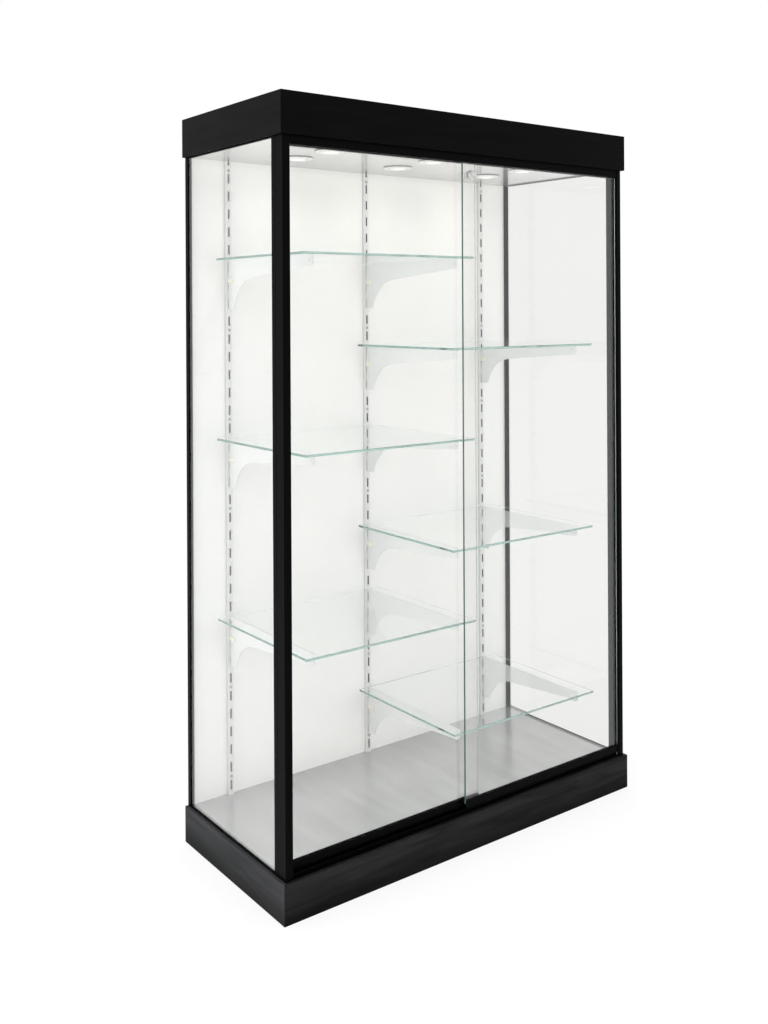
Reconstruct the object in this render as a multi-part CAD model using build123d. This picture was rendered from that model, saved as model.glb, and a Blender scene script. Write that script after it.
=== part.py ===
from build123d import *
import os

# Lighted glass display cabinet with two sliding glass doors
# Millimetres, +Z up, origin at the middle of the footprint on the floor, front towards -Y

# Overall size
case_width = 1220.0
case_depth = 515.0
case_height = 1978.0
base_height = 98.0
canopy_height = 104.0
frame_inset = 9.0
edge_round = 0.8

# Boards of the base and the canopy
board_thickness = 16.0
ceiling_thickness = 12.0
cleat_width = 20.0
cleat_height = 25.0
cleat_end_gap = 15.0

# Aluminium frame
front_post_width = 22.0
rear_post_width = 16.0
post_wall = 2.0
post_line_width = 1.5
post_line_depth = 1.0
post_lip_width = 6.5
post_lip_step = 1.5
door_recess_depth = 8.0
glass_channel_width = 11.0
glass_channel_depth = 16.0
front_groove_depth = 12.0
rear_groove_depth = 7.0
side_rail_height = 3.0
rail_floor = 1.0

# Glazing
glass_thickness = 6.0
glass_end_gap = 2.0
glass_top_gap = 1.0
glass_chamfer = 0.5
gasket_wall = 0.8
fit_gap = 0.1

# Back panel
panel_thickness = 4.0
panel_setback = 2.0
panel_gap = 0.15
panel_bite = 7.0
panel_groove_depth = 8.0

# Doors and their tracks
outer_door_offset = 9.5
door_pitch = 16.0
door_overlap = 57.0
door_bite = 5.0
track_wall = 2.0
track_lip_height = 4.0
rib_width = 2.0
upper_track_height = 22.0
upper_lane_width = 9.0
upper_lane_depth = 19.0
door_head_bite = 10.0
shoe_width = 12.0
shoe_wall = 2.0
shoe_web = 2.0
shoe_pocket = 9.5
shoe_wheel_pocket = 9.0
shoe_play = 0.5
glass_seat_gap = 0.15
seal_thickness = 2.2
seal_width = 7.0

# Door wheels
wheel_radius = 6.0
wheel_root_radius = 4.4
wheel_width = 5.0
wheel_groove_width = 2.6
wheel_head_gap = 0.5
wheel_rail_gap = 0.3
axle_radius = 1.5
axle_seat_gap = 0.02
running_gap = 0.05
wheel_end_distance = 80.0
rib_height = 8.8

# Push lock on the outer door
lock_drop = 54.0
lock_face_radius = 12.0
lock_stand_out = 13.0
lock_sleeve_radius = 9.0
lock_glass_gap = 0.3
lock_nut_thickness = 2.5
lock_nut_across = 26.0
plunger_radius = 7.0
plunger_proud = 1.0
plug_radius = 4.5
plug_length = 14.0
key_slot_width = 1.6
key_slot_height = 5.5
key_slot_depth = 9.0
bolt_hole_gap = 1.0

# Slotted standards
standard_width = 16.0
standard_depth = 10.0
standard_wall = 1.5
standard_inset = 107.0
slot_pitch = 50.0
slot_height = 25.0
slot_width = 4.0
first_slot = 27.0
screw_slots = (0, 5, 15, 20, 25)

# Shelves and brackets
shelf_thickness = 6.0
shelf_side_gap = 65.0
shelf_centre_reach = 38.0
shelf_back_gap = 4.5
shelf_front_gap = 13.5
shelf_slots = {
    "left": {"top": 29, "middle": 19, "bottom": 9},
    "right": {"top": 24, "middle": 13, "bottom": 3},
}
planned_slot_count = 35
bracket_thickness = 3.0
bracket_tip_setback = 24.0
bracket_top_above_slot = 31.5
bracket_root_height = 134.0
bracket_tail_width = 37.0
bracket_tail_round = 14.0
bracket_throat_reach = 126.0
bracket_throat_drop = 51.0
bracket_tail_drop = 118.0
bracket_tip_height = 26.0
bracket_tip_round = 11.0
bracket_tip_hole_radius = 3.0
bracket_tip_hole_inset = 16.0
hook_tab_height = 14.0
hook_lip_drop = 8.0
hook_lip_thickness = 2.5
hook_gap = 0.2
clip_drop = 56.0
clip_length = 27.0
clip_height = 12.0
clip_cheek = 3.0
clip_peg_radius = 2.4
clip_peg_gap = 0.2

# Lamps and their wiring
lamp_inset = 230.0
lamp_row_offset = 81.5
lamp_bezel_radius = 43.0
lamp_bezel_thickness = 4.0
lamp_can_radius = 24.0
lamp_can_wall = 2.0
lamp_can_height = 24.0
lamp_hole_gap = 0.5
lamp_lens_thickness = 5.0
lamp_lens_drop = 2.0
lamp_lens_gap = 0.3
driver_length = 200.0
driver_width = 50.0
driver_height = 40.0
driver_back_gap = 41.5
lead_radius = 2.0
lead_rise = 16.0
lead_bend = 12.0
lead_spacing = 30.0
grommet_bore_radius = 4.0
grommet_neck_radius = 9.0
grommet_flange_radius = 12.0
grommet_flange = 2.0
grommet_gap = 0.2
grommet_x = 300.0

# Screws
post_screw_radius = 2.0
post_screw_gap = 0.1
post_screw_reach = 30.0
post_screw_wall = 0.6
post_screw_head_radius = 4.2
post_screw_head = 3.0
panel_screw_radius = 2.0
panel_screw_head_radius = 4.0
panel_screw_head = 2.2
bezel_screw_radius = 1.3
bezel_screw_head_radius = 2.4
bezel_screw_head = 1.0

# Places worked out from the sizes above
half_width = case_width / 2
case_front = -case_depth / 2
case_back = case_depth / 2
inner_half = half_width - board_thickness
inner_front = case_front + board_thickness
inner_back = case_back - board_thickness
deck_low = base_height - board_thickness
frame_low = base_height
frame_high = case_height - canopy_height
ceiling_top = frame_high + ceiling_thickness
lid_low = case_height - board_thickness

frame_half = half_width - frame_inset
frame_front = case_front + frame_inset
opening_half = frame_half - front_post_width
rear_opening_half = frame_half - rear_post_width
groove_width = glass_thickness + 2 * (fit_gap + gasket_wall + fit_gap)
side_glass_x = frame_half - glass_channel_width / 2

outer_door_y = frame_front + outer_door_offset
inner_door_y = outer_door_y + door_pitch
track_front = frame_front + post_lip_step
track_back = inner_door_y + outer_door_y - track_front
recess_front = outer_door_y - shoe_width / 2 - shoe_play
recess_back = inner_door_y + shoe_width / 2 + shoe_play
front_post_step = recess_back + post_wall
front_post_back = front_post_step + glass_channel_depth
door_edge = opening_half + door_bite

rib_top = frame_low + track_wall + rib_height
axle_z = rib_top + wheel_rail_gap + wheel_root_radius
shoe_web_low = axle_z + wheel_radius + wheel_head_gap
shoe_low = shoe_web_low - shoe_wheel_pocket
door_glass_low = shoe_web_low + shoe_web
shoe_high = door_glass_low + shoe_pocket
upper_track_low = frame_high - upper_track_height
door_glass_high = upper_track_low + door_head_bite

panel_back = case_back - panel_setback
panel_front = panel_back - panel_thickness
rear_post_front = panel_front - panel_gap - post_wall - rear_groove_depth
standard_face = panel_front - standard_depth
standard_half = opening_half - standard_inset
standard_length = frame_high - frame_low
slot_count = int((standard_length - first_slot - slot_height / 2) / slot_pitch) + 1

shelf_front = inner_door_y + glass_thickness / 2 + shelf_front_gap
shelf_back = standard_face - shelf_back_gap
bracket_reach = standard_face - shelf_front - bracket_tip_setback

lock_z = frame_high - lock_drop
lock_back = outer_door_y + glass_thickness / 2 + lock_nut_thickness
lock_front = outer_door_y - glass_thickness / 2 - lock_stand_out
lamp_x = opening_half - lamp_inset
lamp_low = frame_high - lamp_bezel_thickness
lamp_top = lamp_low + lamp_can_height
driver_back = inner_back - driver_back_gap
driver_front = driver_back - driver_width


def block(x_range, y_range, z_range):
    spans = (x_range, y_range, z_range)
    centre = [(low + high) / 2 for low, high in spans]
    return Pos(*centre) * Box(*[high - low for low, high in spans])


def rod_along(direction, start, radius, length):
    return extrude(Plane(origin=start, z_dir=direction) * Circle(radius), amount=length)


def upright(outline, low, high):
    face = make_face(Polyline(*[(x, y, low) for x, y in outline], close=True))
    return extrude(face, amount=high - low, dir=(0, 0, 1))


def along_x(outline, start, end):
    face = make_face(Polyline(*[(start, y, z) for y, z in outline], close=True))
    return extrude(face, amount=end - start, dir=(1, 0, 0))


def along_y(outline, start, end):
    face = make_face(Polyline(*[(x, start, z) for x, z in outline], close=True))
    return extrude(face, amount=end - start, dir=(0, 1, 0))


def other_side(shape):
    return mirror(shape, about=Plane.YZ)


def write(name, *solids):
    shape = solids[0] if len(solids) == 1 else Compound(children=list(solids))
    export_step(shape, f"parts/{name}.step")


def slot_bottom(index):
    return frame_low + first_slot + index * slot_pitch - slot_height / 2


def shelf_slot(side, level):
    return round(shelf_slots[side][level] * slot_count / planned_slot_count)


# Base and canopy: mitred boards round a deck, a ceiling and a lid

def mitred_front(low, high):
    profile = [
        (case_front, low + edge_round), (case_front + edge_round, low), (inner_front, low),
        (inner_front, high), (case_front + edge_round, high), (case_front, high - edge_round),
    ]
    board = along_x(profile, -half_width, half_width)
    plan = [
        (-half_width, case_front), (half_width, case_front),
        (inner_half, inner_front), (-inner_half, inner_front),
    ]
    return board & upright(plan, low, high)


def mitred_left(low, high):
    profile = [
        (-half_width, low + edge_round), (-half_width + edge_round, low), (-inner_half, low),
        (-inner_half, high), (-half_width + edge_round, high), (-half_width, high - edge_round),
    ]
    board = along_y(profile, case_front, case_back)
    plan = [
        (-half_width, case_front), (-inner_half, inner_front),
        (-inner_half, case_back), (-half_width, case_back),
    ]
    return board & upright(plan, low, high)


def panel_between_boards(low, high):
    return block((-inner_half, inner_half), (inner_front, case_back), (low, high))


def back_board(low, high):
    return block((-inner_half, inner_half), (inner_back, case_back), (low, high))


def cleat_set(low):
    high = low + cleat_height
    side = block(
        (-inner_half, -inner_half + cleat_width),
        (front_post_back + cleat_end_gap, rear_post_front - cleat_end_gap), (low, high))
    front = block(
        (-inner_half + cleat_width, inner_half - cleat_width),
        (inner_front, inner_front + cleat_width), (low, high))
    return [side, other_side(side), front]


front_screw = (
    opening_half + door_recess_depth + post_screw_wall + post_screw_radius, (recess_front + recess_back) / 2)
rear_screw = (
    (rear_opening_half + side_glass_x - groove_width / 2) / 2, (rear_post_front + panel_front - panel_gap) / 2)
post_screw_spots = [(sign * x, y) for sign in (-1, 1) for x, y in (front_screw, rear_screw)]


def drilled_for_posts(panel, low, high):
    for x, y in post_screw_spots:
        hole = rod_along((0, 0, 1), (x, y, low), post_screw_radius + 2 * post_screw_gap, high - low)
        panel = panel - hole
    return panel


def pocketed_for_heads(board, level, direction):
    x, y = rear_screw
    for sign in (-1, 1):
        board = board - rod_along(
            (0, 0, direction), (sign * x, y, level), post_screw_head_radius + post_screw_gap,
            post_screw_head + post_screw_gap)
    return board


def build_base():
    left = mitred_left(0, base_height)
    write("base_front_board", mitred_front(0, base_height))
    write("base_left_board", left)
    write("base_right_board", other_side(left))
    write("base_back_board", pocketed_for_heads(back_board(0, deck_low), deck_low, -1))
    deck = panel_between_boards(deck_low, base_height)
    write("floor_deck", drilled_for_posts(deck, deck_low, base_height))


lamp_spots = [(x, y) for y in (-lamp_row_offset, lamp_row_offset) for x in (-lamp_x, 0, lamp_x)]
bezel_screw_offset = (lamp_bezel_radius + lamp_can_radius) / 2


def build_canopy():
    left = mitred_left(frame_high, case_height)
    write("canopy_front_board", mitred_front(frame_high, case_height))
    write("canopy_left_board", left)
    write("canopy_right_board", other_side(left))
    write("canopy_lid", panel_between_boards(lid_low, case_height))
    ceiling = drilled_for_posts(panel_between_boards(frame_high, ceiling_top), frame_high, ceiling_top)
    for x, y in lamp_spots:
        ceiling = ceiling - rod_along(
            (0, 0, 1), (x, y, frame_high), lamp_can_radius + lamp_hole_gap, ceiling_thickness)
        for sign in (-1, 1):
            ceiling = ceiling - rod_along(
                (0, 0, 1), (x + sign * bezel_screw_offset, y, frame_high),
                bezel_screw_radius + fit_gap, ceiling_thickness)
    write("ceiling_panel", ceiling)
    grommet_z = (ceiling_top + lid_low) / 2
    board = pocketed_for_heads(back_board(ceiling_top, lid_low), ceiling_top, 1)
    board = board - rod_along(
        (0, 1, 0), (grommet_x, inner_back, grommet_z), grommet_neck_radius + grommet_gap, board_thickness)
    board = board - rod_along(
        (0, 1, 0), (grommet_x, case_back - grommet_flange, grommet_z),
        grommet_flange_radius + grommet_gap, grommet_flange)
    write("canopy_back_board", board)
    neck = rod_along((0, 1, 0), (grommet_x, inner_back, grommet_z), grommet_neck_radius, board_thickness)
    outer = rod_along(
        (0, 1, 0), (grommet_x, case_back - grommet_flange, grommet_z), grommet_flange_radius, grommet_flange)
    inner = rod_along(
        (0, 1, 0), (grommet_x, inner_back - grommet_flange, grommet_z), grommet_flange_radius, grommet_flange)
    bore = rod_along(
        (0, 1, 0), (grommet_x, inner_back - grommet_flange, grommet_z),
        grommet_bore_radius, board_thickness + grommet_flange)
    write("power_grommet", neck + outer + inner - bore)
    write("cleats", *cleat_set(deck_low - cleat_height), *cleat_set(ceiling_top), *cleat_set(lid_low - cleat_height))


# Frame: four extruded posts, side rails, side glass and the back panel

def front_post():
    outer = -frame_half
    inner = -opening_half
    groove_low = -side_glass_x - groove_width / 2
    groove_high = -side_glass_x + groove_width / 2
    channel = outer + glass_channel_width
    groove_end = front_post_back - front_groove_depth
    line_front = front_post_step - post_line_width
    outline = [
        (outer, frame_front), (inner - post_lip_width, frame_front),
        (inner - post_lip_width, track_front), (inner, track_front),
        (inner, recess_front), (inner - door_recess_depth, recess_front),
        (inner - door_recess_depth, recess_back), (inner, recess_back),
        (inner, front_post_step), (channel, front_post_step), (channel, front_post_back),
        (groove_high, front_post_back), (groove_high, groove_end), (groove_low, groove_end),
        (groove_low, front_post_back), (outer, front_post_back),
        (outer, front_post_step), (outer + post_line_depth, front_post_step),
        (outer + post_line_depth, line_front), (outer, line_front),
    ]
    return bored_post(upright(outline, frame_low, frame_high), front_screw)


def rear_post():
    outer = -frame_half
    inner = -rear_opening_half
    groove_low = -side_glass_x - groove_width / 2
    groove_high = -side_glass_x + groove_width / 2
    groove_end = rear_post_front + rear_groove_depth
    panel_slot = (panel_front - panel_gap, panel_back + panel_gap)
    outline = [
        (outer, rear_post_front), (groove_low, rear_post_front),
        (groove_low, groove_end), (groove_high, groove_end),
        (groove_high, rear_post_front), (inner, rear_post_front),
        (inner, panel_slot[0]), (inner - panel_groove_depth, panel_slot[0]),
        (inner - panel_groove_depth, panel_slot[1]), (inner, panel_slot[1]),
        (inner, case_back), (outer, case_back),
    ]
    return bored_post(upright(outline, frame_low, frame_high), rear_screw)


def bored_post(post, screw):
    x, y = screw
    for z in (frame_low, frame_high - post_screw_reach):
        post = post - rod_along(
            (0, 0, 1), (-x, y, z), post_screw_radius + post_screw_gap, post_screw_reach)
    return post


def side_rail(low, groove_from, groove_to):
    rail = block(
        (-frame_half, -frame_half + glass_channel_width), (front_post_back, rear_post_front),
        (low, low + side_rail_height))
    reach = glass_thickness / 2 + fit_gap
    groove = block(
        (-side_glass_x - reach, -side_glass_x + reach), (front_post_back, rear_post_front),
        (groove_from, groove_to))
    return rail - groove


side_glass_low = frame_low + rail_floor
side_glass_high = frame_high - glass_top_gap
side_glass_front = front_post_back - front_groove_depth + glass_end_gap
side_glass_back = rear_post_front + rear_groove_depth - glass_end_gap


def side_glass():
    pane = block(
        (-side_glass_x - glass_thickness / 2, -side_glass_x + glass_thickness / 2),
        (side_glass_front, side_glass_back), (side_glass_low, side_glass_high))
    return chamfer(pane.edges(), glass_chamfer)


def gasket(bottom, mouth, glass_edge):
    inside = glass_thickness / 2 + fit_gap
    outside = inside + gasket_wall
    outline = [
        (-side_glass_x - outside, mouth), (-side_glass_x - outside, bottom),
        (-side_glass_x + outside, bottom), (-side_glass_x + outside, mouth),
        (-side_glass_x + inside, mouth), (-side_glass_x + inside, glass_edge),
        (-side_glass_x - inside, glass_edge), (-side_glass_x - inside, mouth),
    ]
    return upright(outline, side_glass_low, side_glass_high)


def build_frame():
    write("front_left_post", front_post())
    write("front_right_post", other_side(front_post()))
    write("rear_left_post", rear_post())
    write("rear_right_post", other_side(rear_post()))
    upper_low = frame_high - side_rail_height
    lower = side_rail(frame_low, side_glass_low, frame_low + side_rail_height)
    upper = side_rail(upper_low, upper_low, side_glass_high)
    write("side_rails", lower, other_side(lower), upper, other_side(upper))
    write("left_side_glass", side_glass())
    write("right_side_glass", other_side(side_glass()))
    front = gasket(front_post_back - front_groove_depth, front_post_back - fit_gap, side_glass_front - fit_gap)
    rear = gasket(rear_post_front + rear_groove_depth, rear_post_front + fit_gap, side_glass_back + fit_gap)
    write("glazing_gaskets", front, other_side(front), rear, other_side(rear))
    panel_half = rear_opening_half + panel_bite
    panel = block((-panel_half, panel_half), (panel_front, panel_back), (frame_low, frame_high))
    for x, z in panel_screw_spots():
        hole = rod_along(
            (0, 1, 0), (x, panel_front, z), panel_screw_radius + fit_gap, panel_thickness)
        panel = panel - hole
    write("back_panel", panel)


# Standards with their screws

standard_places = {"left_standard": -standard_half, "centre_standard": 0.0, "right_standard": standard_half}


def panel_screw_spots():
    heights = [
        slot_bottom(index) + slot_height / 2 + slot_pitch / 2
        for index in screw_slots if index < slot_count - 1
    ]
    heights.append(frame_high - first_slot)
    return [(x, z) for x in standard_places.values() for z in heights]


def standard():
    half = standard_width / 2
    outline = [
        (-half, panel_front), (-half, standard_face), (half, standard_face), (half, panel_front),
        (half - standard_wall, panel_front), (half - standard_wall, standard_face + standard_wall),
        (-half + standard_wall, standard_face + standard_wall), (-half + standard_wall, panel_front),
    ]
    channel = upright(outline, frame_low, frame_high)
    slots = [
        block(
            (-slot_width / 2, slot_width / 2), (standard_face, standard_face + standard_wall),
            (slot_bottom(index), slot_bottom(index) + slot_height))
        for index in range(slot_count)
        if slot_bottom(index) + slot_height < frame_high - first_slot - panel_screw_head_radius
    ]
    holes = [
        rod_along((0, 1, 0), (0, standard_face, z), panel_screw_radius + fit_gap, standard_wall)
        for x, z in panel_screw_spots() if x == 0
    ]
    return channel.cut(*slots, *holes)


def panel_screw(x, z):
    head = rod_along(
        (0, 1, 0), (x, standard_face - panel_screw_head, z), panel_screw_head_radius, panel_screw_head)
    head = chamfer(head.faces().sort_by(Axis.Y)[0].edges(), panel_screw_head / 3)
    shank = rod_along((0, 1, 0), (x, standard_face, z), panel_screw_radius, panel_back - standard_face)
    return head + shank


def post_screw(x, y, base, direction):
    head = rod_along((0, 0, -direction), (x, y, base), post_screw_head_radius, post_screw_head)
    thickness = board_thickness if direction > 0 else ceiling_thickness
    shank = rod_along(
        (0, 0, direction), (x, y, base), post_screw_radius, thickness + post_screw_reach - post_screw_gap)
    return head + shank


def bezel_screw(x, y):
    head = rod_along(
        (0, 0, 1), (x, y, lamp_low - bezel_screw_head), bezel_screw_head_radius, bezel_screw_head)
    shank = rod_along(
        (0, 0, 1), (x, y, lamp_low), bezel_screw_radius, lamp_bezel_thickness + ceiling_thickness)
    return head + shank


def build_standards_and_screws():
    for name, x in standard_places.items():
        write(name, Pos(x, 0, 0) * standard())
    screws = [panel_screw(x, z) for x, z in panel_screw_spots()]
    for x, y in post_screw_spots:
        screws.append(post_screw(x, y, deck_low, 1))
        screws.append(post_screw(x, y, ceiling_top, -1))
    for x, y in lamp_spots:
        screws += [bezel_screw(x + sign * bezel_screw_offset, y) for sign in (-1, 1)]
    write("screws", *screws)


# Shelves on pairs of hooked plate brackets

def bracket(x, slot):
    top = slot_bottom(slot) + bracket_top_above_slot

    def spot(reach, drop):
        return (x - bracket_thickness / 2, standard_face - reach, top - drop)

    tip = bracket_reach
    throat_middle = spot(
        bracket_tail_width + (bracket_throat_reach - bracket_tail_width) * 0.34,
        bracket_throat_drop + (bracket_tail_drop - bracket_throat_drop) * 0.38)
    edges = [
        Line(spot(0, 0), spot(tip, 0)),
        Line(spot(tip, 0), spot(tip, bracket_tip_height - bracket_tip_round)),
        ThreePointArc(
            spot(tip, bracket_tip_height - bracket_tip_round),
            spot(tip - bracket_tip_round * 0.293, bracket_tip_height - bracket_tip_round * 0.293),
            spot(tip - bracket_tip_round, bracket_tip_height)),
        Line(spot(tip - bracket_tip_round, bracket_tip_height),
             spot(bracket_throat_reach, bracket_throat_drop)),
        ThreePointArc(
            spot(bracket_throat_reach, bracket_throat_drop), throat_middle,
            spot(bracket_tail_width, bracket_tail_drop)),
        ThreePointArc(
            spot(bracket_tail_width, bracket_tail_drop),
            spot(bracket_tail_width - bracket_tail_round * 0.45, bracket_root_height - bracket_tail_round * 0.22),
            spot(bracket_tail_width - bracket_tail_round, bracket_root_height)),
        Line(spot(bracket_tail_width - bracket_tail_round, bracket_root_height), spot(0, bracket_root_height)),
        Line(spot(0, bracket_root_height), spot(0, 0)),
    ]
    plate = extrude(make_face(edges), amount=bracket_thickness, dir=(1, 0, 0))
    span = (x - bracket_thickness / 2, x + bracket_thickness / 2)
    for index in (slot, slot - 1):
        low = slot_bottom(index)
        lip_front = standard_face + standard_wall + hook_gap
        plate = plate + block(span, (standard_face, lip_front), (low, low + hook_tab_height))
        plate = plate + block(
            span, (lip_front, lip_front + hook_lip_thickness), (low - hook_lip_drop, low + hook_tab_height))
    clip_hole = spot(clip_length / 2, clip_drop)
    plate = plate - rod_along((1, 0, 0), clip_hole, clip_peg_radius + clip_peg_gap, bracket_thickness)
    tip_hole = spot(tip - bracket_tip_hole_inset, bracket_tip_height / 2)
    return plate - rod_along((1, 0, 0), tip_hole, bracket_tip_hole_radius, bracket_thickness)


def bracket_clip(x, slot):
    middle = slot_bottom(slot) + bracket_top_above_slot - clip_drop
    inside = bracket_thickness / 2 + fit_gap
    y_range = (standard_face - clip_length, standard_face)
    z_range = (middle - clip_height / 2, middle + clip_height / 2)
    solid = rod_along(
        (1, 0, 0), (x - inside, standard_face - clip_length / 2, middle), clip_peg_radius, 2 * inside)
    for sign in (-1, 1):
        spans = sorted((x + sign * inside, x + sign * (inside + clip_cheek)))
        cheek = block(spans, y_range, z_range)
        outer_edges = cheek.faces().sort_by(Axis.X)[-1 if sign > 0 else 0].edges()
        solid = solid + chamfer(outer_edges, clip_cheek / 2)
    return solid


def shelf(side, slot):
    low = slot_bottom(slot) + bracket_top_above_slot
    outer = opening_half - shelf_side_gap
    x_range = (-outer, shelf_centre_reach) if side == "left" else (-shelf_centre_reach, outer)
    pane = block(x_range, (shelf_front, shelf_back), (low, low + shelf_thickness))
    return chamfer(pane.edges(), glass_chamfer)


def build_shelves():
    clips = []
    for side, levels in shelf_slots.items():
        places = (-standard_half, 0.0) if side == "left" else (0.0, standard_half)
        for level in levels:
            slot = shelf_slot(side, level)
            write(f"{side}_{level}_brackets", *[bracket(x, slot) for x in places])
            write(f"{side}_{level}_shelf", shelf(side, slot))
            clips += [bracket_clip(x, slot) for x in places]
    write("bracket_clips", *clips)


# Lamps, driver and leads

def lamp_housing(x, y):
    can = rod_along((0, 0, 1), (x, y, lamp_low), lamp_can_radius, lamp_can_height)
    bezel = rod_along((0, 0, 1), (x, y, lamp_low), lamp_bezel_radius, lamp_bezel_thickness)
    bezel = chamfer(bezel.faces().sort_by(Axis.Z)[0].edges(), lamp_bezel_thickness / 2)
    inside = rod_along(
        (0, 0, 1), (x, y, lamp_low), lamp_can_radius - lamp_can_wall, lamp_can_height - lamp_can_wall)
    housing = can + bezel - inside
    for sign in (-1, 1):
        housing = housing - rod_along(
            (0, 0, 1), (x + sign * bezel_screw_offset, y, lamp_low),
            bezel_screw_radius + fit_gap, lamp_bezel_thickness)
    return housing


def lamp_lens(x, y):
    lens = rod_along(
        (0, 0, 1), (x, y, lamp_low - lamp_lens_drop),
        lamp_can_radius - lamp_can_wall - lamp_lens_gap, lamp_lens_thickness)
    return chamfer(lens.faces().sort_by(Axis.Z)[0].edges(), lamp_lens_drop - lamp_lens_gap)


def lamp_lead(x, y, terminal_x):
    level = lamp_top + lead_rise
    points = [(x, y, lamp_top), (x, y, level), (terminal_x, y, level), (terminal_x, driver_front, level)]
    if x == terminal_x:
        points.pop(2)
    path = FilletPolyline(*points, radius=lead_bend)
    return sweep(Plane(origin=path @ 0, z_dir=path % 0) * Circle(lead_radius), path=path)


def build_lamps():
    write("lamp_housings", *[lamp_housing(x, y) for x, y in lamp_spots])
    write("lamp_lenses", *[lamp_lens(x, y) for x, y in lamp_spots])
    driver = block(
        (-driver_length / 2, driver_length / 2), (driver_front, driver_back),
        (ceiling_top, ceiling_top + driver_height))
    write("lamp_driver", chamfer(driver.faces().sort_by(Axis.Z)[-1].edges(), edge_round))
    leads = []
    for sign in (-1, 1):
        near, far = lead_spacing / 2, lead_spacing * 1.5
        leads.append(lamp_lead(sign * lamp_x, -lamp_row_offset, sign * far))
        leads.append(lamp_lead(sign * lamp_x, lamp_row_offset, sign * (far + lead_spacing)))
        leads.append(lamp_lead(sign * near, sign * lamp_row_offset, sign * near))
    write("lamp_leads", *leads)


# Door tracks and the two sliding doors

def build_tracks():
    floor_top = frame_low + track_wall
    lip_top = frame_low + track_lip_height
    outline = [(track_front, frame_low), (track_back, frame_low), (track_back, lip_top),
               (track_back - track_wall, lip_top), (track_back - track_wall, floor_top)]
    for y in (inner_door_y, outer_door_y):
        outline += [(y + rib_width / 2, floor_top), (y + rib_width / 2, rib_top),
                    (y - rib_width / 2, rib_top), (y - rib_width / 2, floor_top)]
    outline += [(track_front + track_wall, floor_top), (track_front + track_wall, lip_top), (track_front, lip_top)]
    write("lower_door_track", along_x(outline, -opening_half, opening_half))
    track = block((-opening_half, opening_half), (track_front, track_back), (upper_track_low, frame_high))
    for y in (outer_door_y, inner_door_y):
        track = track - block(
            (-opening_half, opening_half), (y - upper_lane_width / 2, y + upper_lane_width / 2),
            (upper_track_low, upper_track_low + upper_lane_depth))
    write("upper_door_track", track)
    floor = opening_half + door_recess_depth
    seals = [
        block(sorted((sign * floor, sign * (floor - seal_thickness))),
              (y - seal_width / 2, y + seal_width / 2), (frame_low, frame_high))
        for sign, y in ((-1, inner_door_y), (1, outer_door_y))
    ]
    write("door_seal_strips", *seals)


def door_shoe(x_range, y):
    half = shoe_width / 2
    pocket = glass_thickness / 2 + glass_seat_gap
    hollow = half - shoe_wall
    outline = [
        (y - half, shoe_low), (y - hollow, shoe_low), (y - hollow, shoe_web_low),
        (y + hollow, shoe_web_low), (y + hollow, shoe_low), (y + half, shoe_low),
        (y + half, shoe_high), (y + pocket, shoe_high), (y + pocket, door_glass_low),
        (y - pocket, door_glass_low), (y - pocket, shoe_high), (y - half, shoe_high),
    ]
    return along_x(outline, *x_range)


def door_wheel(x, y):
    tread = rod_along((0, 1, 0), (x, y - wheel_width / 2, axle_z), wheel_radius, wheel_width)
    ring = rod_along((0, 1, 0), (x, y - wheel_groove_width / 2, axle_z), wheel_radius, wheel_groove_width)
    root = rod_along((0, 1, 0), (x, y - wheel_groove_width / 2, axle_z), wheel_root_radius, wheel_groove_width)
    bore = rod_along((0, 1, 0), (x, y - wheel_width / 2, axle_z), axle_radius + running_gap, wheel_width)
    return tread - (ring - root) - bore


def build_door(side, y, x_range):
    glass = block(x_range, (y - glass_thickness / 2, y + glass_thickness / 2), (door_glass_low, door_glass_high))
    glass = chamfer(glass.edges(), glass_chamfer)
    hole_radius = plunger_radius + bolt_hole_gap if side == "left" else lock_sleeve_radius + lock_glass_gap
    hole = rod_along((0, 1, 0), (0, y - glass_thickness / 2, lock_z), hole_radius, glass_thickness)
    write(f"{side}_door_glass", glass - hole)
    shoe = door_shoe(x_range, y)
    axles = []
    wheels = (x_range[0] + wheel_end_distance, x_range[1] - wheel_end_distance)
    for name, x in zip(("left", "right"), wheels):
        start = (x, y - shoe_width / 2, axle_z)
        shoe = shoe - rod_along((0, 1, 0), start, axle_radius + axle_seat_gap, shoe_width)
        axles.append(rod_along((0, 1, 0), start, axle_radius, shoe_width))
        write(f"{side}_door_{name}_wheel", door_wheel(x, y))
    write(f"{side}_door_shoe", shoe)
    write(f"{side}_door_axles", *axles)


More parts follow.
